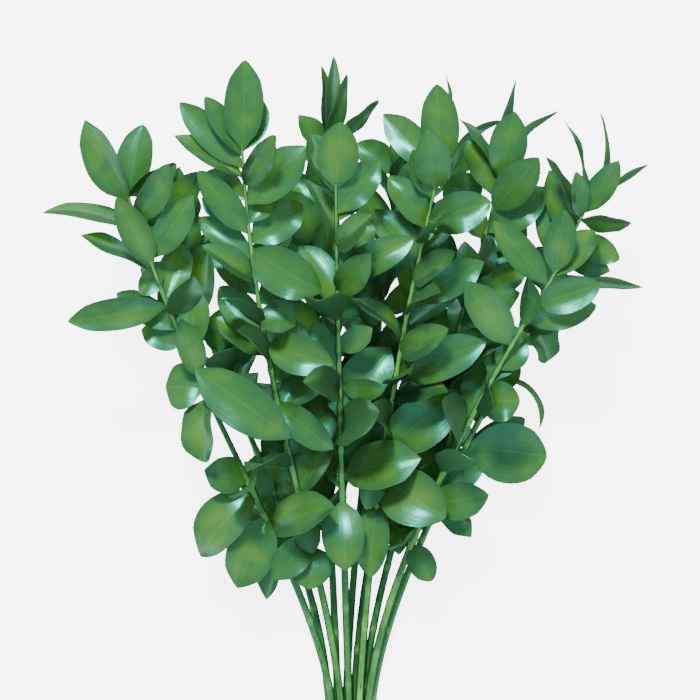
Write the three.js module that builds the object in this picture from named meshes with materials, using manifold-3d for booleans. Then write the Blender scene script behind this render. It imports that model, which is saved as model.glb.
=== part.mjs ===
// A florist's bunch of ruscus: eleven cut stems, leafy in their upper part, held by a rubber band near
// their cut ends and laid on a flat surface.
//
// Units are millimetres. +Y runs along the bunch from the cut ends to the tips, +X runs across it and
// +Z points up. The bunch is laid out about the middle of its band. The finished group is then moved
// so that the origin is on the surface, under the middle of the whole bunch.
//
// Each leafy stem is one solid: a tapering stem with its blades fused to it. A blade grows from the
// stem's axis, is broadest near its middle, is folded a little along its midrib and bows backwards.
// No blade crosses another: one that would is swung, tilted or shortened until it is clear.

import * as THREE from "three";
import Module from "manifold-3d";
import { mergeVertices } from "three/addons/utils/BufferGeometryUtils.js";

const wasm = await Module();
wasm.setup();

// ---- Driving dimensions ----

const STEM_RADIUS = 3.4; // at the band
const STEM_TIP_RADIUS = 1;
const STEM_SIDES = 5;
const STEM_STEPS = 13; // rings along a stem

const STEM_PITCH = 7.1; // between neighbours in a row at the band
const ROW_RISE = 6.2; // from the lower row of stems to the upper one
const BAND_THICKNESS = 1.6;
const BAND_WIDTH = 9;
const BAND_GAP = 0.3; // between the band and the stems

const NODE_PITCH = 12.5; // between one leaf and the next along a stem
const TOPMOST_ROOT = 0.99; // share of a stem's route at which its last leaf is rooted
const DIVERGENCE = 137.5; // degrees round the stem from one leaf to the next

const BLADE_STATIONS = [0.09, 0.31, 0.59, 0.85]; // shares of a blade's length
const MIDRIB_THICKNESS = [1.8, 1.6, 1.4, 1.1]; // at those stations
const STALK_SHARE = 0.07; // of a blade's length, before its outline opens
const CLEARANCE = 1.1; // kept round each blade where another stem's leaves are near
const CLEARANCE_ON_STEM = 0.3; // kept between the leaves of one stem, past their bases

// The plan of the bunch: how far to either side a leaf grown by rule may reach. [y, left, right]
const PLAN = [
  [100, -40, 40],
  [142, -92, 42],
  [184, -128, 66],
  [206, -118, 112],
  [228, -100, 118],
  [244, -66, 118],
  [262, -66, 118],
  [276, -98, 118],
  [291, -128, 116],
  [333, -142, 132],
  [354, -160, 176],
  [397, -182, 206],
  [461, -202, 214],
  [503, -204, 206],
  [525, -196, 180],
  [546, -150, 150],
  [570, -110, 110],
];

// ---- The stems ----

// place is the stem's place in its row at the band, in pitches from the middle. The stem leaves the band
// towards `out`, measured from its place there, then turns towards `run` and ends at `tip`. firstLeaf is
// the distance of its lowest leaf from the band. Each row of `posed` is one leaf on the face of the bunch:
// [root's distance along +Y, tip's x, tip's y, tip's rise over the root, breadth, roll, bow].
// Roll turns the blade's upper side away from +Z, and bow is how far the blade bends. Both in degrees.
const STEMS = [
  {
    name: "leafy_stem_01",
    row: "upper",
    place: -2,
    out: [0, 116],
    run: [-129, 267, 75],
    tip: [-189, 469, 120],
    firstLeaf: 180,
    seed: 11,
    posed: [
      [189, -97, 128, 6, 46, 0, 30],
      [208, -130, 155, -6, 45, 25, 60],
      [221, -125, 230, 0, 34, 0, 25],
      [293, -123, 236, 6, 35, 35, 75],
      [300, -158, 302, -8, 42, 10, 30],
      [338, -178, 351, -8, 26, 0, 20],
      [318, -50, 258, 12, 42, 0, 25],
      [309, -144, 360, 14, 24, 10, 20],
      [350, -200, 382, -14, 26, 0, 20],
      [371, -240, 357, 2, 30, -10, 25],
      [384, -178, 396, -4, 28, 0, 20],
      [397, -228, 430, 0, 26, 55, 20],
      [403, -196, 462, 24, 27, 0, 15],
      [410, -132, 464, 6, 30, 0, 15],
      [420, -172, 474, -4, 26, 0, 15],
      [434, -261, 451, 0, 28, 55, 25],
      [458, -224, 527, 4, 36, -30, 35],
      [466, -146, 490, 0, 24, 35, 15],
      [469, -175, 524, 6, 34, -10, 10],
      [376, -142, 424, -8, 30, 0, 15],
    ],
  },
  {
    name: "leafy_stem_02",
    row: "lower",
    place: -2.5,
    out: [0, 160],
    run: [-106, 265, 40],
    tip: [-159, 456, 75],
    firstLeaf: 165,
    seed: 22,
    posed: [
      [176, -74, 116, 0, 28, 35, 25],
      [318, -84, 352, 0, 30, 0, 20],
      [330, -112, 368, 0, 26, 0, 15],
      [354, -142, 366, -4, 30, 0, 20],
      [384, -122, 434, 2, 25, -10, 10],
      [397, -136, 461, 8, 22, 10, 10],
      [439, -133, 469, -6, 26, 20, 30],
      [448, -128, 484, -4, 26, 0, 15],
      [456, -146, 490, -4, 22, 50, 20],
      [244, -80, 198, 0, 30, 0, 20],
    ],
  },
  {
    name: "leafy_stem_03",
    row: "upper",
    place: -1,
    out: [0, 116],
    run: [-80, 278, 78],
    tip: [-91, 507, 128],
    firstLeaf: 160,
    seed: 33,
    posed: [
      [165, -34, 127, 10, 40, 0, 20],
      [172, -66, 136, 4, 31, -15, 25],
      [222, -76, 240, -6, 24, 0, 15],
      [198, -32, 158, -4, 26, 0, 20],
      [289, -14, 248, 10, 28, 10, 45],
      [337, -14, 321, 12, 36, 0, 30],
      [340, -112, 388, -14, 32, 0, 20],
      [366, -46, 354, 4, 36, -20, 20],
      [373, -46, 396, -6, 30, 0, 15],
      [380, -116, 424, -10, 30, 0, 20],
      [410, -130, 446, -10, 24, 10, 15],
      [418, -24, 382, 14, 41, 10, 35],
      [424, -40, 457, -10, 34, 0, 15],
      [431, -128, 484, 12, 26, 0, 10],
      [440, -66, 474, -12, 28, 0, 15],
      [456, -37, 505, 10, 37, -10, 15],
      [460, -122, 484, -6, 26, 0, 15],
      [478, -148, 514, 0, 24, 35, 20],
      [484, -62, 514, -4, 20, 40, 10],
      [486, -144, 542, -4, 26, 0, 10],
      [496, -122, 546, 4, 22, 15, 10],
      [505, -75, 546, -10, 27, 0, 10],
      [507, -88, 577, 6, 36, 0, 10],
      [446, -126, 462, -14, 28, 0, 15],
    ],
  },
  {
    name: "leafy_stem_04",
    row: "lower",
    place: -1.5,
    out: [0, 116],
    run: [-30, 308, 20],
    tip: [-20, 512, 42],
    firstLeaf: 175,
    seed: 44,
    posed: [
      [512, -14, 586, 0, 22, 55, 5],
      [510, -25, 578, 0, 20, 60, 8],
      [503, -2, 570, 2, 20, 50, -10],
      [240, -30, 190, 0, 26, 0, 20],
      [400, -66, 440, 0, 34, 0, 20],
      [425, -62, 470, 0, 34, 0, 20],
      [490, -70, 504, 0, 20, 72, 25],
      [495, 26, 547, 0, 22, 65, -40],
      [502, -44, 536, 0, 24, 35, 15],
      [394, -18, 444, 10, 28, 0, 15],
    ],
  },
  {
    name: "leafy_stem_05",
    row: "upper",
    place: 0,
    out: [-4, 116],
    run: [-10, 308, 80],
    tip: [-12, 473, 135],
    firstLeaf: 200,
    seed: 55,
    posed: [
      [204, -4, 144, 18, 37, 0, 35],
      [303, 30, 299, 4, 20, 20, 25],
      [333, 19, 352, 10, 22, 0, 30],
      [342, -24, 376, 6, 22, 45, 10],
      [397, 54, 427, 10, 31, 0, 20],
      [427, -38, 478, 4, 24, 55, 12],
      [448, 25, 493, 2, 31, 0, 15],
      [456, -36, 510, 0, 22, 40, 10],
      [473, -8, 524, 10, 35, 0, 12],
      [404, 16, 447, 0, 32, 0, 20],
      [320, -32, 356, -2, 28, 0, 20],
    ],
  },
  {
    name: "leafy_stem_06",
    row: "lower",
    place: -0.5,
    out: [0, 116],
    run: [19, 291, 18],
    tip: [41, 495, 36],
    firstLeaf: 190,
    seed: 66,
    posed: [
      [291, -2, 334, 0, 30, 0, 20],
      [388, -4, 436, 4, 32, 0, 20],
      [424, 6, 476, 0, 30, 10, 20],
      [486, 6, 512, -4, 28, 5, 15],
      [495, 46, 526, 0, 22, 20, 10],
      [272, 2, 230, 0, 36, 0, 20],
    ],
  },
  {
    name: "leafy_stem_07",
    row: "upper",
    place: 1,
    out: [4, 116],
    run: [30, 308, 75],
    tip: [77, 490, 125],
    firstLeaf: 195,
    seed: 77,
    posed: [
      [201, 17, 137, 4, 32, 10, 25],
      [223, 82, 190, 26, 51, 0, 30],
      [247, 93, 298, 14, 48, 0, 39],
      [312, 116, 340, 20, 39, 0, 25],
      [376, 114, 408, 8, 31, 0, 25],
      [442, 119, 458, 10, 38, 0, 20],
      [461, 53, 502, 10, 22, 0, 12],
      [468, 64, 518, 22, 32, 10, 25],
      [480, 28, 533, -6, 30, 0, 15],
      [490, 73, 557, 4, 36, 0, 10],
      [241, 14, 196, -6, 25, 0, 20],
    ],
  },
  {
    name: "leafy_stem_08",
    row: "lower",
    place: 0.5,
    out: [0, 170],
    run: [55, 291, 24],
    tip: [89, 503, 48],
    firstLeaf: 185,
    seed: 88,
    posed: [
      [503, 83, 570, 0, 20, 80, 8],
      [496, 132, 530, 0, 22, 70, -85],
      [455, 112, 484, 0, 30, 0, 15],
      [482, 112, 520, 0, 22, 20, 15],
      [380, 88, 432, 0, 30, 0, 20],
    ],
  },
  {
    name: "leafy_stem_09",
    row: "lower",
    place: 1.5,
    out: [0, 125],
    run: [76, 274, 45],
    tip: [130, 485, 80],
    firstLeaf: 200,
    seed: 99,
    posed: [
      [200, 42, 156, 0, 24, 30, 20],
      [227, 116, 233, 0, 42, 0, 25],
      [434, 168, 472, 0, 34, 0, 15],
      [452, 160, 496, 4, 32, 0, 15],
      [485, 179, 535, -8, 22, 70, -80],
      [483, 144, 563, -6, 22, 70, -35],
      [485, 140, 536, 6, 33, 0, 10],
      [408, 152, 440, -4, 32, 0, 20],
      [478, 94, 531, -6, 20, 60, 20],
    ],
  },
  {
    name: "leafy_stem_10",
    row: "upper",
    place: 2,
    out: [1, 116],
    run: [95, 269, 70],
    tip: [175, 401, 112],
    firstLeaf: 160,
    seed: 110,
    posed: [
      [165, 71, 134, 4, 26, 0, 30],
      [210, 104, 172, 0, 30, 35, -35],
      [201, 119, 209, 0, 34, 5, 30],
      [291, 145, 289, 6, 36, 0, 30],
      [337, 97, 391, 14, 33, 0, 15],
      [357, 210, 371, -6, 26, 10, 20],
      [371, 212, 389, 4, 31, 0, 20],
      [388, 121, 442, 6, 26, 0, 12],
      [401, 181, 451, 8, 29, 0, 10],
      [316, 148, 344, -4, 28, 0, 20],
    ],
  },
  {
    name: "leafy_stem_11",
    row: "lower",
    place: 2.5,
    out: [0, 116],
    run: [112, 265, 45],
    tip: [202, 456, 80],
    firstLeaf: 235,
    seed: 121,
    posed: [
      [206, 100, 172, 0, 18, 50, 30],
      [250, 171, 241, 8, 55, 0, 25],
      [307, 162, 265, 0, 20, -70, 115],
      [358, 168, 321, -4, 34, -40, 80],
      [397, 251, 387, -4, 24, 66, -15],
      [414, 222, 400, 0, 22, 0, 12],
      [430, 230, 410, 0, 24, 0, 12],
      [427, 170, 487, 0, 26, 0, 15],
      [444, 240, 440, 0, 28, 58, -20],
      [442, 166, 496, 6, 22, 60, 10],
      [408, 164, 460, -6, 26, 0, 15],
      [445, 192, 484, 8, 19, 20, 8],
      [450, 255, 490, -2, 20, 76, -45],
      [454, 184, 531, -4, 20, 78, 32],
      [455, 215, 536, -6, 20, 74, 50],
      [456, 228, 493, 6, 25, 0, 10],
      [330, 126, 297, -6, 28, 0, 20],
      [240, 152, 274, -6, 26, 0, 20],
    ],
  },
];

// How the leaves that grow by rule differ from the lowest leaf of a stem to its topmost one.
const LOWEST = { length: 68, breadthShare: 0.6, spread: 76 };
const TOPMOST = { length: 57, breadthShare: 0.46, spread: 34 };
// What is tried in turn on a leaf that would cross another.
const SHORTENINGS = [1, 0.87, 0.75];
const TILTS = [0, -14, 14, -28];
const SWINGS = [0, 20, -20, 40, -40, 62, -62];
const LIFTS = [0, 5, -5, 10, -10, 16, -16, 24, -24];
const DEEPEST_PRESS = 7; // how far below the surface an unpressed blade may reach

// ---- Small tools ----

const UP = new THREE.Vector3(0, 0, 1);
const rad = THREE.MathUtils.degToRad;
const lerp = THREE.MathUtils.lerp;
const vector = (xyz) => new THREE.Vector3(...xyz);
const mixed = (a, ka, b, kb) => a.clone().multiplyScalar(ka).addScaledVector(b, kb);

// A repeatable stream of numbers from 0 to 1.
function drawing(seed) {
  let state = seed;
  return () => {
    state = (Math.imul(state, 1664525) + 1013904223) >>> 0;
    return state / 2 ** 32;
  };
}

function solidOf(geometry) {
  const bare = geometry.clone();
  bare.deleteAttribute("normal");
  bare.deleteAttribute("uv");
  const merged = mergeVertices(bare, 1e-4);
  return new wasm.Manifold(
    new wasm.Mesh({
      numProp: 3,
      vertProperties: new Float32Array(merged.attributes.position.array),
      triVerts: new Uint32Array(merged.index.array),
    }),
  );
}

function geometryOf(solid) {
  const mesh = solid.getMesh();
  const geometry = new THREE.BufferGeometry();
  geometry.setAttribute("position", new THREE.BufferAttribute(mesh.vertProperties, 3));
  geometry.setIndex(new THREE.BufferAttribute(mesh.triVerts, 1));
  const faceted = geometry.toNonIndexed();
  faceted.computeVertexNormals();
  return faceted;
}

// ---- A stem ----

const LOWER_ROW_HEIGHT = BAND_THICKNESS + BAND_GAP + STEM_RADIUS;

function routeOf(stem) {
  const height = LOWER_ROW_HEIGHT + (stem.row === "upper" ? ROW_RISE : 0);
  const foot = new THREE.Vector3(stem.place * STEM_PITCH, 0, height);
  const out = foot.clone().add(new THREE.Vector3(stem.out[0], stem.out[1], 0));
  return new THREE.CubicBezierCurve3(foot, out, vector(stem.run), vector(stem.tip));
}

// The share of the route at which it has come y along the bunch.
function shareAt(route, y) {
  let low = 0;
  let high = 1;
  for (let i = 0; i < 40; i++) {
    const middle = (low + high) / 2;
    if (route.getPoint(middle).y < y) low = middle;
    else high = middle;
  }
  return (low + high) / 2;
}

// Directions across the route: `aside` is level and `above` is the nearest to straight up.
function frameAt(route, share) {
  const along = route.getTangent(share);
  const aside = new THREE.Vector3().crossVectors(along, UP).normalize();
  const above = new THREE.Vector3().crossVectors(aside, along);
  return { along, aside, above };
}

const radiusAt = (share) => lerp(STEM_RADIUS, STEM_TIP_RADIUS, Math.max(share, 0) ** 1.4);

// A lathed taper, bent along its route. Its height is the share of the route, and below 0 it is the
// cut end, which runs straight back out of the band.
function stemGeometry(stem) {
  const route = routeOf(stem);
  const tail = 46 + 7 * drawing(stem.seed)();
  const shares = [-1];
  for (let i = 0; i <= STEM_STEPS; i++) shares.push(i / STEM_STEPS);
  const profile = [new THREE.Vector2(0, -1)];
  for (const share of shares) profile.push(new THREE.Vector2(radiusAt(share), share));
  profile.push(new THREE.Vector2(0, 1));
  const taper = new THREE.LatheGeometry(profile, STEM_SIDES);
  const place = taper.attributes.position;
  for (let i = 0; i < place.count; i++) {
    const share = place.getY(i);
    const { aside, above } = frameAt(route, Math.max(share, 0));
    const point = route.getPoint(Math.max(share, 0));
    point.y += Math.min(share, 0) * tail;
    point.addScaledVector(aside, place.getX(i)).addScaledVector(above, place.getZ(i));
    place.setXYZ(i, point.x, point.y, point.z);
  }
  return taper;
}

// ---- A blade ----

// A blade's half breadth, as a share of the most that it has.
function outline(share) {
  const open = THREE.MathUtils.clamp((share - STALK_SHARE) / (1 - STALK_SHARE), 0, 1);
  return (1 - Math.abs(2 * open ** 0.9 - 1) ** 1.9) ** 0.57;
}

// The blade's own directions where it leaves the stem, and its length along the bow.
function bladeFrame({ chord, face, bow }) {
  const reach = chord.clone().normalize();
  const facing = mixed(face, 1, reach, -face.dot(reach)).normalize();
  const half = bow / 2;
  const along = mixed(reach, Math.cos(half), facing, Math.sin(half));
  const normal = mixed(facing, Math.cos(half), reach, -Math.sin(half));
  const across = new THREE.Vector3().crossVectors(along, normal);
  return { along, normal, across, length: (chord.length() * half) / Math.sin(half) };
}

// The left margin, midrib and right margin of a blade at a share of its length.
function bladeSection(leaf, frame, share, extra) {
  const turned = leaf.bow * share;
  const midrib = leaf.root
    .clone()
    .addScaledVector(frame.along, (frame.length * Math.sin(turned)) / leaf.bow)
    .addScaledVector(frame.normal, (-frame.length * (1 - Math.cos(turned))) / leaf.bow);
  const normal = mixed(frame.normal, Math.cos(turned), frame.along, Math.sin(turned));
  const twist = leaf.twist * (share - 0.5);
  const across = mixed(frame.across, Math.cos(twist), normal, Math.sin(twist));
  const face = mixed(normal, Math.cos(twist), frame.across, -Math.sin(twist));
  const half = (leaf.breadth / 2) * outline(share) + extra;
  const side = (sign) =>
    midrib
      .clone()
      .addScaledVector(across, sign * half * Math.cos(leaf.cup))
      .addScaledVector(face, half * Math.sin(leaf.cup));
  return { midrib, face, left: side(-1), right: side(1) };
}

// Nothing reaches below the surface that the bunch lies on: what would is pressed flat on it.
function pressed(point, least) {
  point.z = Math.max(point.z, least);
  return point;
}

// A blade with `extra` added all round it, as a closed solid of two faces that meet at its margins.
// Without its base it starts at its second station, clear of the crowd where the stalks leave the stem.
function bladeSolid(leaf, extra = 0, withBase = true) {
  const frame = bladeFrame(leaf);
  const first = withBase ? 0 : 1;
  const points = [];
  BLADE_STATIONS.slice(first).forEach((share, i) => {
    const { midrib, face, left, right } = bladeSection(leaf, frame, share, extra);
    const half = MIDRIB_THICKNESS[first + i] / 2 + extra;
    points.push(pressed(left, 0.2));
    points.push(pressed(midrib.clone().addScaledVector(face, half), 2 * half));
    points.push(pressed(right, 0.2));
    points.push(pressed(midrib.clone().addScaledVector(face, -half), 0));
  });
  const last = points.length / 4 - 1;
  const tip = points.push(pressed(bladeSection(leaf, frame, 1, 0).midrib, 0.3)) - 1;

  const faces = [];
  const [LEFT, TOP, RIGHT, UNDER] = [0, 1, 2, 3];
  const at = (station, corner) => 4 * station + corner;
  if (withBase) {
    const root = points.push(leaf.root.clone()) - 1;
    faces.push(at(0, LEFT), root, at(0, TOP), at(0, TOP), root, at(0, RIGHT));
    faces.push(at(0, UNDER), root, at(0, LEFT), at(0, RIGHT), root, at(0, UNDER));
  } else {
    faces.push(at(0, LEFT), at(0, UNDER), at(0, RIGHT), at(0, LEFT), at(0, RIGHT), at(0, TOP));
  }
  for (let i = 0; i < last; i++) {
    for (const margin of [LEFT, RIGHT]) {
      for (const middle of [TOP, UNDER]) {
        const a = at(i, margin);
        const b = at(i, middle);
        const c = at(i + 1, middle);
        const d = at(i + 1, margin);
        const outward = (margin === LEFT) === (middle === TOP);
        faces.push(...(outward ? [a, b, c, a, c, d] : [a, c, b, a, d, c]));
      }
    }
  }
  faces.push(at(last, LEFT), at(last, TOP), tip, at(last, TOP), at(last, RIGHT), tip);
  faces.push(at(last, UNDER), at(last, LEFT), tip, at(last, RIGHT), at(last, UNDER), tip);
  return new wasm.Manifold(
    new wasm.Mesh({
      numProp: 3,
      vertProperties: new Float32Array(points.flatMap((point) => point.toArray())),
      triVerts: new Uint32Array(faces),
    }),
  );
}

// ---- Leaves on the stems ----

function posedLeaf(stem, route, row, draw) {
  const [y, tipX, tipY, rise, breadth, roll, bow] = row;
  const root = route.getPoint(Math.min(shareAt(route, y), TOPMOST_ROOT));
  const cup = rad(lerp(8, 20, draw()));
  const twist = rad(lerp(-22, 22, draw()));
  return (lift) => {
    const end = new THREE.Vector3(tipX, tipY, Math.max(root.z + rise + lift, 1));
    const chord = end.sub(root);
    const face = UP.clone().applyAxisAngle(chord.clone().normalize(), rad(roll));
    return { root, chord, face, breadth, bow: rad(bow), cup, twist };
  };
}

function ruledLeaf(stem, route, y, turn, draw) {
  const share = shareAt(route, y);
  const root = route.getPoint(share);
  const { along, aside, above } = frameAt(route, share);
  const height = (y - stem.firstLeaf) / (stem.tip[1] - stem.firstLeaf);
  const length = lerp(LOWEST.length, TOPMOST.length, height) * lerp(0.86, 1.1, draw());
  const breadthShare = lerp(LOWEST.breadthShare, TOPMOST.breadthShare, height) * lerp(0.88, 1.12, draw());
  const spread = lerp(LOWEST.spread, TOPMOST.spread, height ** 0.7) + lerp(-12, 12, draw());
  const azimuth = turn + lerp(-15, 15, draw());
  const bow = rad(lerp(12, 42, draw()));
  const cup = rad(lerp(8, 24, draw()));
  const twist = rad(lerp(-30, 30, draw()));
  const wander = new THREE.Vector3(draw() - 0.5, draw() - 0.5, draw() - 0.5);
  const roll = draw() < 0.16 ? rad(lerp(55, 85, draw())) : 0;
  return (shortening, tilt, swing) => {
    const around = rad(azimuth + swing);
    const outward = mixed(aside, Math.cos(around), above, 0.75 * Math.sin(around)).normalize();
    const lean = rad(spread + tilt);
    const reach = mixed(along, Math.cos(lean), outward, Math.sin(lean));
    const inner = mixed(along, Math.sin(lean), outward, -Math.cos(lean));
    const face = mixed(UP, 0.8, inner, 0.5)
      .addScaledVector(wander, 0.9)
      .applyAxisAngle(reach, roll);
    const chord = reach.multiplyScalar(length * shortening);
    const breadth = length * breadthShare * lerp(1, shortening, 0.5);
    return { root, chord, face, breadth, bow, cup, twist };
  };
}

// ---- The whole bunch ----

const placed = []; // what a new blade has to clear: every stem, and every blade whole and past its base
const meet = (a, b) =>
  [0, 1, 2].every((k) => a.box.min[k] < b.box.max[k] && b.box.min[k] < a.box.max[k]) &&
  !a.solid.intersect(b.solid).isEmpty();
const bounded = (solid) => ({ solid, box: solid.boundingBox() });

// Blades of one stem crowd together where they leave it, and there they may grow into each other.
function isClear(leaf, stemName) {
  const ample = bounded(bladeSolid(leaf, CLEARANCE));
  const whole = bounded(bladeSolid(leaf));
  const outer = bounded(bladeSolid(leaf, CLEARANCE_ON_STEM, false));
  return placed.every((other) => {
    if (other.stemName !== stemName) return !meet(ample, other.whole);
    return !meet(outer, other.whole) && !(other.outer && meet(whole, other.outer));
  });
}

function sections(leaf) {
  const frame = bladeFrame(leaf);
  return [...BLADE_STATIONS, 1].map((share) => bladeSection(leaf, frame, share, 0));
}

const staysUp = (leaf) => sections(leaf).every(({ midrib }) => midrib.z > -DEEPEST_PRESS);

// The furthest that the plan lets a leaf reach to the left and right at y.
function planAt(y) {
  const next = Math.min(Math.max(PLAN.findIndex((row) => row[0] > y), 1), PLAN.length - 1);
  const [below, above] = [PLAN[next - 1], PLAN[next]];
  const part = THREE.MathUtils.clamp((y - below[0]) / (above[0] - below[0]), 0, 1);
  return [lerp(below[1], above[1], part), lerp(below[2], above[2], part)];
}

function staysInPlan(leaf) {
  return sections(leaf).every(({ midrib }) => {
    const [left, right] = planAt(midrib.y);
    return midrib.x > left && midrib.x < right && midrib.y < PLAN[PLAN.length - 1][0];
  });
}

const stems = STEMS.map((stem) => {
  const solid = solidOf(stemGeometry(stem));
  placed.push({ stemName: stem.name, whole: bounded(solid) });
  return { ...stem, route: routeOf(stem), draw: drawing(stem.seed * 7919), solid, leaves: 0 };
});

// Grows the first of a leaf's possible poses that is clear of everything placed before it.
function grow(stem, poses) {
  const leaf = poses.find((pose) => staysUp(pose) && isClear(pose, stem.name));
  if (!leaf) return;
  const blade = bladeSolid(leaf);
  const outer = bladeSolid(leaf, 0, false);
  placed.push({ stemName: stem.name, whole: bounded(blade), outer: bounded(outer) });
  stem.solid = stem.solid.add(blade);
  stem.leaves += 1;
}

for (const stem of stems) {
  for (const row of stem.posed) {
    const leaf = posedLeaf(stem, stem.route, row, stem.draw);
    grow(stem, LIFTS.map(leaf));
  }
}

for (const stem of stems) {
  const slope = (stem.tip[1] - 0) / stem.route.getLength();
  let turn = 360 * stem.draw();
  for (let y = stem.firstLeaf; y < stem.tip[1] - 6; y += NODE_PITCH * slope) {
    turn += DIVERGENCE;
    const leaf = ruledLeaf(stem, stem.route, y, turn, stem.draw);
    const taken = stem.posed.some((row) => Math.abs(row[0] - y) < 0.45 * NODE_PITCH);
    if (taken) continue;
    const poses = SHORTENINGS.flatMap((shortening) =>
      TILTS.flatMap((tilt) => SWINGS.map((swing) => leaf(shortening, tilt, swing))),
    );
    grow(stem, poses.filter(staysInPlan));
  }
}

// ---- The band ----

// A closed oval round both rows of stems, `away` from them.
function ovalRound(away) {
  const reach = STEM_RADIUS + away;
  const lowX = 2.5 * STEM_PITCH;
  const highX = 2 * STEM_PITCH;
  const lowZ = LOWER_ROW_HEIGHT;
  const highZ = LOWER_ROW_HEIGHT + ROW_RISE;
  const lean = Math.atan2(lowX - highX, highZ - lowZ);
  const shape = new THREE.Shape();
  shape.absarc(lowX, lowZ, reach, -Math.PI / 2, lean, false);
  shape.absarc(highX, highZ, reach, lean, Math.PI / 2, false);
  shape.absarc(-highX, highZ, reach, Math.PI / 2, Math.PI - lean, false);
  shape.absarc(-lowX, lowZ, reach, Math.PI - lean, 1.5 * Math.PI, false);
  return shape;
}

function bandGeometry() {
  const section = ovalRound(BAND_GAP + BAND_THICKNESS);
  section.holes.push(ovalRound(BAND_GAP));
  const band = new THREE.ExtrudeGeometry(section, {
    depth: BAND_WIDTH,
    bevelEnabled: false,
    curveSegments: 3,
  });
  return band.translate(0, 0, -BAND_WIDTH / 2).rotateX(Math.PI / 2);
}

// ---- Assembly ----

const leafGreen = { color: 0x3f8a3a, roughness: 0.4, metalness: 0 };
const bandTan = { color: 0xb98d55, roughness: 0.65, metalness: 0 };

function piece(name, solid, finish) {
  const mesh = new THREE.Mesh(geometryOf(solid), new THREE.MeshStandardMaterial(finish));
  mesh.name = name;
  return mesh;
}

const bunch = new THREE.Group();
for (const stem of stems) bunch.add(piece(stem.name, stem.solid, leafGreen));
bunch.add(piece("rubber_band", solidOf(bandGeometry()), bandTan));

const middle = new THREE.Box3().setFromObject(bunch).getCenter(new THREE.Vector3());
bunch.position.set(-middle.x, -middle.y, 0);

const part = new THREE.Group();
part.add(bunch);
export default part;
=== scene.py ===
"""A florist's bunch of ruscus: eleven cut stems with glossy leathery leaves, held near their cut ends by a
wound rubber band and laid down on a pale table. Everything is in metres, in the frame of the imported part:
+Y runs along the bunch towards its tips, +X runs across it and +Z points up from the table.
"""

import math
import random

import bmesh
import bpy
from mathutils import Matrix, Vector, geometry


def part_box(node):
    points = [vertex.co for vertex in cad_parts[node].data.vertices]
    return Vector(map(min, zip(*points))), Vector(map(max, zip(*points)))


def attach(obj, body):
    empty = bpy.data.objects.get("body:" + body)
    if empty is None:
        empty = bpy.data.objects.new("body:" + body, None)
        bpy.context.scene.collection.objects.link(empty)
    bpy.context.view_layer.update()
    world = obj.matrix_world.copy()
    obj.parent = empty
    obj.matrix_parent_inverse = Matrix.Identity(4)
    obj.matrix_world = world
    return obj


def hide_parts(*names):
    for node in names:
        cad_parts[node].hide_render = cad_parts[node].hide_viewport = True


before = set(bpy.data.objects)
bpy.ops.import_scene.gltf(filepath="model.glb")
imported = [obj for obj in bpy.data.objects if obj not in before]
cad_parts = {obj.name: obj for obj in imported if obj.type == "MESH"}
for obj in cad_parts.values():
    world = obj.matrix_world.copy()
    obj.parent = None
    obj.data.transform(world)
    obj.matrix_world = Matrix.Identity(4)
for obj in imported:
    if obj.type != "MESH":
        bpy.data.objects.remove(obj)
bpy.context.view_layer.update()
bpy.ops.object.select_all(action="DESELECT")

# ---- Camera ----
# It looks straight down on the lying bunch, with the tips at the top of the picture. It is far enough away
# that the nearest leaves look hardly larger than the furthest. The bunch is laid out from its rubber band.

MM = 0.001
BAND_LOW, BAND_HIGH = (Vector(corner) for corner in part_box("rubber_band"))
BAND_MIDDLE = (BAND_LOW + BAND_HIGH) / 2
VIEW_WIDTH = 595 * MM  # what the picture takes in at the height of the upper leaves
VIEW_CENTRE = 333 * MM  # past the band
LEAF_HEIGHT = 90 * MM
CAMERA_DISTANCE = 3.5
SENSOR_WIDTH = 36

bpy.ops.object.camera_add(
    location=(BAND_MIDDLE.x, BAND_MIDDLE.y + VIEW_CENTRE, LEAF_HEIGHT + CAMERA_DISTANCE),
    rotation=(0, 0, 0),
)
camera = bpy.context.object
camera.data.sensor_width = SENSOR_WIDTH
camera.data.lens = SENSOR_WIDTH * CAMERA_DISTANCE / VIEW_WIDTH
bpy.context.scene.camera = camera

# ---- Leaves ----
# A ruscus leaf is a flattened leathery branch: glossy, pointed, broadest near its middle, folded a little
# along its midrib and bowed back. One blade is modelled flat, and each leaf is a copy of it that is bent to
# the place, length, breadth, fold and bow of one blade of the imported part.

BLADE_COLUMNS = 4
BLADE_ROWS = 13
ROW_CROWDING = 1.3  # above 1, the rows stand closer together towards the tip
BLADE_THICKNESS = 0.5 * MM
STALK_HALF_BREADTH = 0.9 * MM
STALK_SHARE = 0.07  # of a blade's length, before its outline opens
STATIONS = [0.31, 0.59, 0.85]  # the shares of a blade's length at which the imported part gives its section
CORNERS_ROUND_TIP = 4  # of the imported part's blades, and of each of their sections
POINT_START = 0.8  # of a blade's length, where its sides turn in to the tip
FULL_GROWN = 19 * MM  # half the breadth from which a blade has its full-grown green
GROWN_TONE = 0.5  # between the oldest and the youngest green
EVENNESS = 0.6  # of the full-grown blades' green
MERGE_DISTANCE = 0.002 * MM

# How the blades differ from each other, from the least to the most.
POINTS = (0.62, 0.95)  # how sharp the tip is
SKEWS = (-0.08, 0.08)  # how much broader one half is than the other
CHANNELS = (1.0, 2.0)  # above 1, the fold is a rounded channel
DROOPS = (0, 0.6)  # how much each half arches over towards its margin
CURLS = (-0.01, 0.03)  # how far the tip bends back, as a share of the length
SHOULDERS = (0, 0.015)  # how far the blade stands up past its stalk, as a share of the length
WAVE_HEIGHTS = (0.6, 2.1)  # of the margins, in millimetres
WAVES = (0.9, 2.3)  # along a margin

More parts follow.
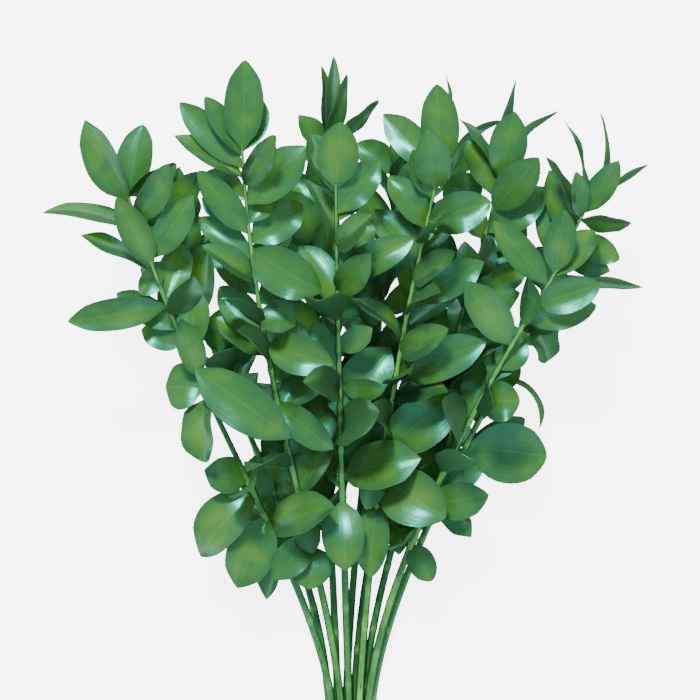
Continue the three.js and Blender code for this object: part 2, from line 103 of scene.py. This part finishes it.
bpy.ops.mesh.primitive_grid_add(
    x_subdivisions=BLADE_COLUMNS, y_subdivisions=BLADE_ROWS, size=2, location=(0, 0, 0)
)
flat_blade = bpy.context.object
flat_blade.name = "flat_blade"
bpy.ops.object.mode_set(mode="EDIT")
bpy.ops.mesh.select_all(action="DESELECT")
bpy.ops.object.mode_set(mode="OBJECT")
half_row = 0.5 / BLADE_ROWS**ROW_CROWDING
for vertex in flat_blade.data.vertices:  # x stays -1 to 1 across the blade, y becomes 0 to 1 along it
    vertex.co.y = 1 - (0.5 - vertex.co.y / 2) ** ROW_CROWDING
    vertex.select = vertex.co.y > 1 - half_row
bpy.ops.object.mode_set(mode="EDIT")
bpy.ops.mesh.merge(type="CENTER")  # the row at the tip becomes one point
bpy.ops.object.mode_set(mode="OBJECT")
flat_blade.data.attributes.new("tone", "FLOAT", "POINT")


def rings_behind(tip):
    """The three rings of corners behind a corner of a mesh, the furthest first."""
    rings, seen = [[tip]], {tip}
    for _ in STATIONS:
        ring = []
        for vertex in rings[-1]:
            for edge in vertex.link_edges:
                other = edge.other_vert(vertex)
                if other not in seen:
                    seen.add(other)
                    ring.append(other)
        rings.append(ring)
    return rings[:0:-1]


def section_of(ring):
    """A blade's one margin, its midrib and its other margin, from the four corners of a section."""
    corners = [vertex.co.copy() for vertex in ring]
    pairs = [(a, b) for i, a in enumerate(corners) for b in corners[i + 1 :]]
    left, right = max(pairs, key=lambda pair: (pair[0] - pair[1]).length)
    top, under = [corner for corner in corners if corner is not left and corner is not right]
    return [left, (top + under) / 2, right]


def through(stations, values, share):
    """The smooth curve through the values at the stations."""
    total = values[0] * 0
    for i, value in enumerate(values):
        weight = 1
        for j, station in enumerate(stations):
            if j != i:
                weight *= (share - station) / (stations[i] - station)
        total = total + value * weight
    return total


def nearest_on(line, place):
    """The point of a broken line that is nearest to a place."""
    found = []
    for start, end in zip(line, line[1:]):
        share = geometry.intersect_point_line(place, start, end)[1]
        found.append(start.lerp(end, min(max(share, 0), 1)))
    return min(found, key=lambda point: (point - place).length)


OUTLINE_LEAN = 0.9  # below 1, a blade is broadest nearer to its stalk
OUTLINE_FULLNESS = 1.9
OUTLINE_ROUNDNESS = 0.57
PLAIN_POINT = 0.7


def outline(share, point=PLAIN_POINT):
    """A blade's half breadth as a share of its greatest. The higher the point, the sharper the tip."""
    body_share = min(share, POINT_START)
    opened = max((body_share - STALK_SHARE) / (1 - STALK_SHARE), 0) ** OUTLINE_LEAN
    body = (1 - abs(2 * opened - 1) ** OUTLINE_FULLNESS) ** OUTLINE_ROUNDNESS
    return body * min((1 - share) / (1 - POINT_START), 1) ** point


def blades_of(node, axis):
    """Each blade of a packed stem: its midrib, the directions of its two halves and its breadth."""
    shell = bmesh.new()
    shell.from_mesh(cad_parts[node].data)
    bmesh.ops.remove_doubles(shell, verts=shell.verts, dist=MERGE_DISTANCE)
    blades = []
    for tip in (vertex for vertex in shell.verts if len(vertex.link_edges) == CORNERS_ROUND_TIP):
        rings = rings_behind(tip)
        if any(len(ring) != CORNERS_ROUND_TIP for ring in rings):
            continue
        sections = [section_of(ring) for ring in rings]
        for before, section in zip(sections, sections[1:]):
            if (section[2] - section[0]).dot(before[2] - before[0]) < 0:
                section.reverse()
        left, midrib, right = sections[1]
        upper_side = (left + right) / 2 - midrib
        if (right - left).cross(tip.co - midrib).dot(upper_side) < 0:
            for section in sections:
                section.reverse()
        midribs = [midrib for left, midrib, right in sections] + [tip.co.copy()]
        root = nearest_on(axis, through(STATIONS + [1], midribs, 0))
        halves = [(right - left).length / 2 for left, midrib, right in sections]
        breadths = [half / outline(share) for half, share in zip(halves, STATIONS)]
        blades.append(
            {
                "midrib": [root] + midribs,
                "left": [(left - midrib).normalized() for left, midrib, right in sections],
                "right": [(right - midrib).normalized() for left, midrib, right in sections],
                "half_breadth": sum(breadths) / len(breadths),
            }
        )
    shell.free()
    return blades


LOWEST_FOLD = 0.2  # the shares of a blade's length below and above which its fold changes no more
HIGHEST_FOLD = 0.92
SHORT_STEP = 0.02  # of a blade's length
CURL_START = 0.6  # of a blade's length, from where the tip bends back
SHOULDER_CREST = 1 / 9.5  # the greatest height of the curve that a shoulder follows


def bent_blade(blade, draw):
    """A copy of the flat blade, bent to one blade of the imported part, with its own small irregularities."""
    leaf = flat_blade.copy()
    leaf.data = flat_blade.data.copy()
    bpy.context.collection.objects.link(leaf)
    grown = min(blade["half_breadth"] / FULL_GROWN, 1)
    tone = GROWN_TONE + (draw.random() - GROWN_TONE) * (1 - EVENNESS * grown)
    point = draw.uniform(*POINTS)
    skew = draw.uniform(*SKEWS)
    channel = draw.uniform(*CHANNELS)
    droop = draw.uniform(*DROOPS)
    length = (blade["midrib"][-1] - blade["midrib"][0]).length
    curl = draw.uniform(*CURLS) * length
    shoulder = draw.uniform(*SHOULDERS) * length
    wave_height = draw.uniform(*WAVE_HEIGHTS) * MM
    waves = draw.uniform(*WAVES)
    phases = [draw.uniform(0, math.tau) for side in range(2)]
    stations = [0] + STATIONS + [1]
    for vertex, shade in zip(leaf.data.vertices, leaf.data.attributes["tone"].data):
        across, share = vertex.co.x, vertex.co.y
        midrib = through(stations, blade["midrib"], share)
        along = (midrib - through(stations, blade["midrib"], share - SHORT_STEP)).normalized()
        inner_share = min(max(share, LOWEST_FOLD), HIGHEST_FOLD)
        left = through(STATIONS, blade["left"], inner_share).normalized()
        right = through(STATIONS, blade["right"], inner_share).normalized()
        level = (right - left).normalized()
        normal = level.cross(along).normalized()
        side = right if across > 0 else left
        half = blade["half_breadth"] * outline(share, point) * (1 + math.copysign(skew, across))
        half = max(half, STALK_HALF_BREADTH * (1 - share))
        reach = abs(across)
        place = midrib + level * side.dot(level) * half * reach
        arch = reach**channel * (1 + droop * (1 - reach))
        place += (side - level * side.dot(level)) * half * arch
        wave = math.sin(math.tau * waves * share + phases[across > 0]) * reach**2
        place += normal * (wave * wave_height * outline(share))
        place -= normal * (curl * (max(0, share - CURL_START) / (1 - CURL_START)) ** 2)
        place += normal * (shoulder * share * (1 - share) ** 3 / SHOULDER_CREST)
        place.z = max(place.z, BLADE_THICKNESS)
        vertex.co = place
        shade.value = tone
    return leaf


class Shade:
    """A shader's socket that can be reckoned with like a number."""

    def __init__(self, finish, socket):
        self.finish = finish
        self.socket = socket

    def maths(self, operation, *numbers):
        return self.finish.node("ShaderNodeMath", {"operation": operation}, dict(enumerate(numbers)))

    def __add__(self, other):
        return self.maths("ADD", self, other)

    def __radd__(self, other):
        return self.maths("ADD", other, self)

    def __sub__(self, other):
        return self.maths("SUBTRACT", self, other)

    def __rsub__(self, other):
        return self.maths("SUBTRACT", other, self)

    def __mul__(self, other):
        return self.maths("MULTIPLY", self, other)

    def __rmul__(self, other):
        return self.maths("MULTIPLY", other, self)

    def __abs__(self):
        return self.maths("ABSOLUTE", self)

    def sine(self):
        return self.maths("SINE", self)

    def rise(self, low, high):
        """0 below low and 1 above high, with a smooth rise between them."""
        return self.finish.node(
            "ShaderNodeMapRange",
            {"interpolation_type": "SMOOTHSTEP"},
            {"Value": self, "From Min": low, "From Max": high},
        )

    def between(self, first, second):
        """The colour that is the first where this is 0 and the second where it is 1."""
        sockets = {0: self, 6: first, 7: second}
        return self.finish.node("ShaderNodeMix", {"data_type": "RGBA"}, sockets, output=2)


BUMP_STRENGTH = 0.5
SLANT_SHADE_SLANTS = (0.2, 0.45)  # where the gloss starts to give way to painted shade and where it is gone, from 0 face on to 1 edge on
SLANT_SHADE_SHARE = 0.97  # of the gloss, which is taken off and replaced with painted shade


class Finish:
    """A material in the making."""

    def __init__(self, name):
        self.material = bpy.data.materials.new(name)
        self.material.use_nodes = True
        self.shader = self.material.node_tree.nodes["Principled BSDF"]

    def feed(self, node, sockets):
        for name, value in sockets.items():
            if isinstance(value, Shade):
                self.material.node_tree.links.new(value.socket, node.inputs[name])
            else:
                node.inputs[name].default_value = value

    def node(self, kind, settings, sockets, output=0):
        node = self.material.node_tree.nodes.new(kind)
        for name, value in settings.items():
            setattr(node, name, value)
        self.feed(node, sockets)
        return Shade(self, node.outputs[output])

    def attribute(self, name):
        return self.node("ShaderNodeAttribute", {"attribute_name": name}, {}, output="Fac")

    def noise(self, scale, detail):
        place = self.node("ShaderNodeTexCoord", {}, {}, output="Object")
        return self.node("ShaderNodeTexNoise", {}, {"Vector": place, "Scale": scale, "Detail": detail})

    def unwrapped(self):
        """The two numbers of the surface's own map."""
        place = self.node("ShaderNodeUVMap", {"uv_map": "UVMap"}, {})
        return [self.node("ShaderNodeSeparateXYZ", {}, {0: place}, output=i) for i in range(2)]

    def bump(self, height, distance):
        sockets = {"Height": height, "Distance": distance, "Strength": BUMP_STRENGTH}
        return self.node("ShaderNodeBump", {}, sockets)

    def dull_and_shade_edge_on(self, colour):
        """Takes the gloss off what is seen slantwise and paints the darker colour given there instead:
        painted shade.
        """
        slant = self.node("ShaderNodeLayerWeight", {}, {"Blend": 0.5}, output="Facing")
        glossy = Shade(self, self.shader.outputs[0])
        dull_shade = self.node("ShaderNodeBsdfPrincipled", {}, {"Base Color": colour, "Roughness": 1, "IOR": 1})
        # Painted shade: past these slants the surface turns dull and takes the darker colour given.
        painted_slant_shade = slant.rise(*SLANT_SHADE_SLANTS) * SLANT_SHADE_SHARE
        gloss_and_slant_shade = self.node("ShaderNodeMixShader", {}, {0: painted_slant_shade, 1: glossy, 2: dull_shade})
        self.feed(self.material.node_tree.nodes["Material Output"], {"Surface": gloss_and_slant_shade})


VEIN_GREEN = (0.09, 0.3, 0.085, 1)
SHEEN_TINT = (0.12, 0.9, 0.85, 1)
VEINS_ACROSS = 40  # in radians from the midrib to a margin
VEIN_WANDER = 4
MOTTLING_SCALE = 70
PATCH_SCALE = 28
MIDRIB_HALF_BREADTH = (0.01, 0.07)  # where it starts to fade and where it ends, as shares of the half blade
LEAF_RELIEF = 0.8 * MM


def leaf_finish(name, greens, roughness, ior):
    """Greens are those of an old, a full-grown and a young leaf. The old green also paints the shade towards
    the margins and where a blade is seen slantwise.
    """
    finish = Finish(name)
    across, along = finish.unwrapped()
    across = across * 2 - 1
    tone = finish.attribute("tone")
    mottling = finish.noise(scale=MOTTLING_SCALE, detail=4)
    patches = finish.noise(scale=PATCH_SCALE, detail=2)
    old, grown, young = greens
    colour = tone.rise(-0.1, 0.5).between(old, grown)
    colour = tone.rise(0.75, 1).between(colour, young)
    colour = (mottling.rise(0.4, 0.7) * 0.55).between(colour, old)
    colour = (patches.rise(0.45, 0.7) * 0.5).between(colour, young)
    # Painted shade: the blade darkens towards its margins.
    colour = (abs(across).rise(0.4, 1.1) * 0.7).between(colour, old)
    inside = 1 - along.rise(0.85, 1)
    veins = (across * VEINS_ACROSS + mottling * VEIN_WANDER).sine()
    midrib = (1 - abs(across).rise(*MIDRIB_HALF_BREADTH)) * inside
    colour = (midrib * 0.15).between(colour, VEIN_GREEN)
    colour = (veins.rise(-0.2, 1) * inside * 0.04).between(colour, VEIN_GREEN)
    height = mottling * 0.8 + veins * inside * 0.02 - midrib * 0.1
    finish.feed(
        finish.shader,
        {
            "Base Color": colour,
            "Roughness": mottling * 0.2 + roughness,
            "IOR": ior,
            "Specular Tint": SHEEN_TINT,
            "Normal": finish.bump(height, distance=LEAF_RELIEF),
        },
    )
    # Painted shade: the old green where a blade is seen slantwise.
    finish.dull_and_shade_edge_on(old)
    return finish.material


OLD_GREEN = (0.022, 0.07, 0.026, 1)
GROWN_GREEN = (0.041, 0.122, 0.019, 1)
YOUNG_GREEN = (0.1, 0.2, 0.014, 1)
UNDER_OLD = (0.02, 0.075, 0.03, 1)
UNDER_GREEN = (0.032, 0.12, 0.03, 1)
UNDER_YOUNG = (0.055, 0.17, 0.03, 1)
leaf_top = leaf_finish("leaf_top", (OLD_GREEN, GROWN_GREEN, YOUNG_GREEN), roughness=0.16, ior=1.56)
leaf_under = leaf_finish("leaf_under", (UNDER_OLD, UNDER_GREEN, UNDER_YOUNG), roughness=0.5, ior=1.2)

# ---- Stems ----
# Each is a round green stem, straight where the bunch is held, that leans outwards past it and thins to its
# tip. It is swept along its route, swells a little under each leaf, and is cut off square at its foot.

STEM_RADIUS = 3.4 * MM
STEM_TIP_RADIUS = 1.0 * MM
STEM_PITCH = 7.1 * MM  # between neighbours in a row at the band
LOWER_ROW_HEIGHT = 5.3 * MM
ROW_RISE = 6.2 * MM
STEM_STEPS = 96
KNOT_SWELLING = 0.35  # at a leaf's root, of the stem's radius
SWELLING_REACH = 5 * MM
KNOT_REACH = 2.5 * MM
RING_SWELLING = 0.1  # at a knot of the leafless part
POINTS_BEFORE_BAND = 2  # of a stem's axis, which goes on with the steps of its route
FIRST_RING = (4, 16)  # in points of the axis, from the cut end
RING_SPACING = (10, 20)
LAST_RING_TO_LEAF = 15 * MM
CUT_END_DEPTH = 0.1 * MM
CUT_END_FACING = -0.9  # along the stem, where 0 faces sideways and -1 straight out of the cut end

# Each stem's tone from dark to yellow green, its row, its place in that row in pitches from the middle,
# and, in millimetres, the point that it leaves the band towards, measured from that place, and, measured
# from the middle of the band, the point that it then leans towards and its tip.
STEMS = {
    "leafy_stem_01": (0.3, "upper", -2, (0, 116), (-129, 267, 75), (-189, 469, 120)),
    "leafy_stem_02": (0.1, "lower", -2.5, (0, 160), (-106, 265, 40), (-159, 456, 75)),
    "leafy_stem_03": (0.5, "upper", -1, (0, 116), (-80, 278, 78), (-91, 507, 128)),
    "leafy_stem_04": (0.2, "lower", -1.5, (0, 116), (-30, 308, 20), (-20, 512, 42)),
    "leafy_stem_05": (0.35, "upper", 0, (-4, 116), (-10, 308, 80), (-12, 473, 135)),
    "leafy_stem_06": (0.05, "lower", -0.5, (0, 116), (19, 291, 18), (41, 495, 36)),
    "leafy_stem_07": (1.0, "upper", 1, (4, 116), (30, 308, 75), (77, 490, 125)),
    "leafy_stem_08": (0.1, "lower", 0.5, (0, 170), (55, 291, 24), (89, 503, 48)),
    "leafy_stem_09": (0.15, "lower", 1.5, (0, 125), (76, 274, 45), (130, 485, 80)),
    "leafy_stem_10": (0.55, "upper", 2, (1, 116), (95, 269, 70), (175, 401, 112)),
    "leafy_stem_11": (0.3, "lower", 2.5, (0, 116), (112, 265, 45), (202, 456, 80)),
}


def from_band(x, y, z):
    return Vector((BAND_MIDDLE.x + x * MM, BAND_MIDDLE.y + y * MM, z * MM))


def stem_axis(node, row, place, out, run, tip):
    """The points along a stem's middle from its cut end to its tip."""
    foot = from_band(0, 0, 0) + Vector((place * STEM_PITCH, 0, LOWER_ROW_HEIGHT))
    if row == "upper":
        foot.z += ROW_RISE
    leaving = foot + Vector((*out, 0)) * MM
    route = geometry.interpolate_bezier(foot, leaving, from_band(*run), from_band(*tip), STEM_STEPS)
    cut_end = Vector((foot.x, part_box(node)[0][1], foot.z))
    return [cut_end, cut_end.lerp(foot, 0.5)] + route


def bare_knots(axis, roots, draw):
    """The places of the ringed knots of a stem's leafless part."""
    first_leaf = min(root.y for root in roots)
    knots = []
    step = draw.randrange(*FIRST_RING)
    while axis[step].y < first_leaf - LAST_RING_TO_LEAF:
        knots.append(axis[step])
        step += draw.randrange(*RING_SPACING)
    return knots


def stem_tube(axis, roots, rings, tone):
    """The stem with its knots, which the attribute `knot` marks, at the leaves' roots and at bare rings."""
    bpy.ops.curve.primitive_bezier_curve_add(location=(0, 0, 0))
    tube = bpy.context.object
    tube.data.splines.clear()
    spline = tube.data.splines.new("POLY")
    spline.points.add(len(axis) - 1)
    for step, (point, place) in enumerate(zip(spline.points, axis)):
        share = max(step - POINTS_BEFORE_BAND, 0) / (STEM_STEPS - 1)
        nearest = min((root - place).length for root in roots)
        swelling = 1 + KNOT_SWELLING * max(0, 1 - nearest / SWELLING_REACH)
        if place in rings:
            swelling = 1 + RING_SWELLING
        point.co = (*place, 1)
        point.radius = (STEM_RADIUS + (STEM_TIP_RADIUS - STEM_RADIUS) * share**2) * swelling
    tube.data.bevel_depth = 1
    tube.data.bevel_resolution = 4
    tube.data.use_fill_caps = True
    bpy.ops.object.convert(target="MESH")
    bpy.ops.object.mode_set(mode="EDIT")
    bpy.ops.mesh.select_all(action="SELECT")
    bpy.ops.mesh.remove_doubles(threshold=MERGE_DISTANCE)  # closes the tube's two ends
    bpy.ops.object.mode_set(mode="OBJECT")
    stem = bpy.context.object
    stem.data.materials.append(stem_skin)
    stem.data.materials.append(cut_flesh)
    for face in stem.data.polygons:
        if face.center.y < axis[0].y + CUT_END_DEPTH and face.normal.y < CUT_END_FACING:
            face.material_index = 1
    knots = stem.data.attributes.new("knot", "FLOAT", "POINT").data
    tones = stem.data.attributes.new("tone", "FLOAT", "POINT").data
    for vertex, knot, shade in zip(stem.data.vertices, knots, tones):
        nearest = min((root - vertex.co).length for root in roots + rings)
        knot.value = max(0, 1 - max(0, nearest - STEM_RADIUS) / KNOT_REACH)
        shade.value = tone
    return stem


STEM_DARK = (0.015, 0.06, 0.022, 1)
STEM_GREEN = (0.037, 0.135, 0.032, 1)
STEM_YOUNG = (0.16, 0.45, 0.06, 1)
KNOT_GREEN = (0.12, 0.32, 0.08, 1)
FLESH_PALE = (0.21, 0.3, 0.09, 1)
FLESH_GREEN = (0.1, 0.2, 0.05, 1)
STREAK_SCALE = (900, 50, 900)  # drawn out along the stem
STREAK_RELIEF = 0.4 * MM
SKIN_PATCH_SCALE = 30
FIBRE_SCALE = 1800
FIBRE_RELIEF = 0.2 * MM


def skin_finish():
    finish = Finish("stem_skin")
    place = finish.node("ShaderNodeTexCoord", {}, {}, output="Object")
    drawn_out = finish.node("ShaderNodeMapping", {}, {"Vector": place, "Scale": STREAK_SCALE})
    streaks = finish.node("ShaderNodeTexNoise", {}, {"Vector": drawn_out, "Scale": 1, "Detail": 3})
    patches = finish.noise(scale=SKIN_PATCH_SCALE, detail=3)
    colour = finish.attribute("tone").rise(0, 1).between(STEM_DARK, STEM_YOUNG)
    colour = patches.rise(0.35, 0.7).between(colour, STEM_GREEN)
    colour = (streaks.rise(0.5, 0.8) * 0.5).between(colour, KNOT_GREEN)
    colour = (1 - streaks.rise(0.25, 0.5)).between(colour, STEM_DARK)
    colour = (finish.attribute("knot") * 0.7).between(colour, KNOT_GREEN)
    finish.feed(
        finish.shader,
        {
            "Base Color": colour,
            "Roughness": streaks * 0.2 + 0.16,
            "Specular Tint": SHEEN_TINT,
            "Normal": finish.bump(streaks, distance=STREAK_RELIEF),
        },
    )
    # Painted shade: the dark stem green where the stem is seen slantwise, which makes it look round.
    finish.dull_and_shade_edge_on(STEM_DARK)
    return finish.material


def flesh_finish():
    finish = Finish("cut_flesh")
    fibres = finish.noise(scale=FIBRE_SCALE, detail=2)
    finish.feed(
        finish.shader,
        {
            "Base Color": fibres.rise(0.35, 0.65).between(FLESH_PALE, FLESH_GREEN),
            "Roughness": fibres * 0.2 + 0.5,
            "Normal": finish.bump(fibres, distance=FIBRE_RELIEF),
        },
    )
    return finish.material


stem_skin = skin_finish()
cut_flesh = flesh_finish()


def joined(name, pieces):
    bpy.ops.object.select_all(action="DESELECT")
    for piece in pieces:
        piece.select_set(True)
    bpy.context.view_layer.objects.active = pieces[0]
    bpy.ops.object.join()
    whole = bpy.context.object
    whole.name = whole.data.name = name
    return whole


SMOOTH_UP_TO = math.radians(50)

for number, (node, (tone, *course)) in enumerate(STEMS.items()):
    draw = random.Random(number)
    axis = stem_axis(node, *course)
    blades = blades_of(node, axis)
    leaves = joined("leaves", [bent_blade(blade, draw) for blade in blades])
    leaves.data.materials.append(leaf_top)
    leaves.data.materials.append(leaf_under)
    thickness = leaves.modifiers.new("thickness", "SOLIDIFY")
    thickness.thickness = BLADE_THICKNESS
    thickness.offset = -1
    thickness.material_offset = 1
    bpy.ops.object.modifier_apply(modifier=thickness.name)
    roots = [blade["midrib"][0] for blade in blades]
    stem = stem_tube(axis, roots, bare_knots(axis, roots, draw), tone)
    leafy_stem = joined(f"{node}_grown", [leaves, stem])
    bpy.ops.object.shade_smooth_by_angle(angle=SMOOTH_UP_TO)
    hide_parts(node)
    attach(leafy_stem, "root")
bpy.data.objects.remove(flat_blade)

# ---- Rubber band ----
# A plain tan elastic band, a closed loop of flat strip that is wound three times round the stems. Its turns
# lie side by side, and the last of them crosses back over the others on top of the bunch.

TURNS = 3
TURN_STEPS = 40
STRIP_BREADTH = 2.6 * MM
TURN_PITCH = 2.7 * MM
STRIP_THICKNESS = 1.3 * MM
STRIP_SIDES = 10
SQUARENESS = 0.7  # below 1, the strip's section is squarer than an oval
BAND_GAP = 0.3 * MM
LOWER_ROW_REACH = 2.5  # from the middle of the band to the row's outermost stem, in pitches
UPPER_ROW_REACH = 2
LOOP_RADIUS = 1.0
LOOP_SECTION = 0.25
CROSSING_START = math.radians(25)  # where the crossing leaves the right side, from level
CROSSING_END = math.radians(155)


def round_the_stems(direction, away):
    """The point of the oval round both rows of stems whose outside faces in a direction."""
    lean = math.atan2((LOWER_ROW_REACH - UPPER_ROW_REACH) * STEM_PITCH, ROW_RISE)
    upper = math.sin(direction) > math.sin(lean)
    row_reach = UPPER_ROW_REACH if upper else LOWER_ROW_REACH
    reach_x = row_reach * STEM_PITCH * math.copysign(1, math.cos(direction))
    reach = STEM_RADIUS + BAND_GAP + away
    z = LOWER_ROW_HEIGHT + (ROW_RISE if upper else 0) + reach * math.sin(direction)
    return Vector((BAND_MIDDLE.x + reach_x + reach * math.cos(direction), BAND_MIDDLE.y, z))


bpy.ops.mesh.primitive_torus_add(
    location=(0, 0, 0),
    major_segments=TURNS * TURN_STEPS,
    minor_segments=STRIP_SIDES,
    major_radius=LOOP_RADIUS,
    minor_radius=LOOP_SECTION,
)
band = bpy.context.object
band.name = band.data.name = "wound_band"
for vertex in band.data.vertices:
    loop_share = (math.atan2(vertex.co.y, vertex.co.x) / math.tau) % 1
    outward = (math.hypot(vertex.co.x, vertex.co.y) - LOOP_RADIUS) / LOOP_SECTION
    sideways = vertex.co.z / LOOP_SECTION
    turned = loop_share * TURNS * math.tau - math.pi / 2
    direction = (turned + math.pi / 2) % math.tau - math.pi / 2
    last_turn = loop_share > 1 - 1 / TURNS
    crossing = (direction - CROSSING_START) / (CROSSING_END - CROSSING_START)
    crossing = min(max(crossing, 0), 1) if last_turn else 0
    y = (loop_share * TURNS - TURNS / 2 + 0.5 - crossing * TURNS) * TURN_PITCH
    lifted = math.sin(math.pi * crossing) ** 0.5 * STRIP_THICKNESS if crossing < 1 else 0
    away = STRIP_THICKNESS / 2 * (1 + math.copysign(abs(outward) ** SQUARENESS, outward))
    vertex.co = round_the_stems(direction, away + lifted)
    vertex.co.y += y + STRIP_BREADTH / 2 * math.copysign(abs(sideways) ** SQUARENESS, sideways)
bpy.ops.object.mode_set(mode="EDIT")
bpy.ops.mesh.select_all(action="SELECT")
bpy.ops.mesh.flip_normals()  # the winding has turned the faces inwards
bpy.ops.object.mode_set(mode="OBJECT")
bpy.ops.object.shade_smooth()
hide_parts("rubber_band")
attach(band, "root")

BAND_TAN = (0.3, 0.15, 0.045, 1)
BAND_PALE = (0.4, 0.23, 0.085, 1)
DUST_SCALE = 500
DUST_RELIEF = 0.15 * MM
band_finish = Finish("band_rubber")
dust = band_finish.noise(scale=DUST_SCALE, detail=4)
band_finish.feed(
    band_finish.shader,
    {
        "Base Color": dust.rise(0.4, 0.7).between(BAND_TAN, BAND_PALE),
        "Roughness": dust * 0.25 + 0.45,
        "Normal": band_finish.bump(dust, distance=DUST_RELIEF),
    },
)
band.data.materials.append(band_finish.material)

# ---- Table and light ----
# A pale matt table top that glows a little, as a light table does, one broad soft light from beyond the tips,
# a weaker one from the near side and an even white room.

TABLE_SIZE = 40

bpy.ops.mesh.primitive_plane_add(size=TABLE_SIZE, location=(0, 0, 0))
table_top = bpy.context.object
table_top.name = "table_top"
table_finish = Finish("table_white")
table_finish.feed(
    table_finish.shader,
    {
        "Base Color": (0.94, 0.94, 0.94, 1),
        "Roughness": 0.9,
        "Emission Color": (1, 1, 1, 1),
        "Emission Strength": 5.0,
    },
)
table_top.data.materials.append(table_finish.material)


def soft_light(name, place, size, power, colour):
    bpy.ops.object.light_add(type="AREA", location=place)
    light = bpy.context.object
    light.name = name
    light.data.size = size
    light.data.energy = power
    light.data.color = colour
    light.rotation_euler = (-Vector(place)).to_track_quat("-Z", "Y").to_euler()


soft_light("key_light", place=(-0.9, 3.8, 4.5), size=1.1, power=580, colour=(0.85, 1.0, 0.86))
soft_light("fill_light", place=(0.9, -1.4, 1.8), size=2.0, power=14, colour=(1.0, 0.99, 0.96))

room = bpy.data.worlds.new("room")
room.use_nodes = True
walls = room.node_tree.nodes["Background"]
walls.inputs["Color"].default_value = (0.88, 0.94, 1.0, 1)
walls.inputs["Strength"].default_value = 0.95
bpy.context.scene.world = room
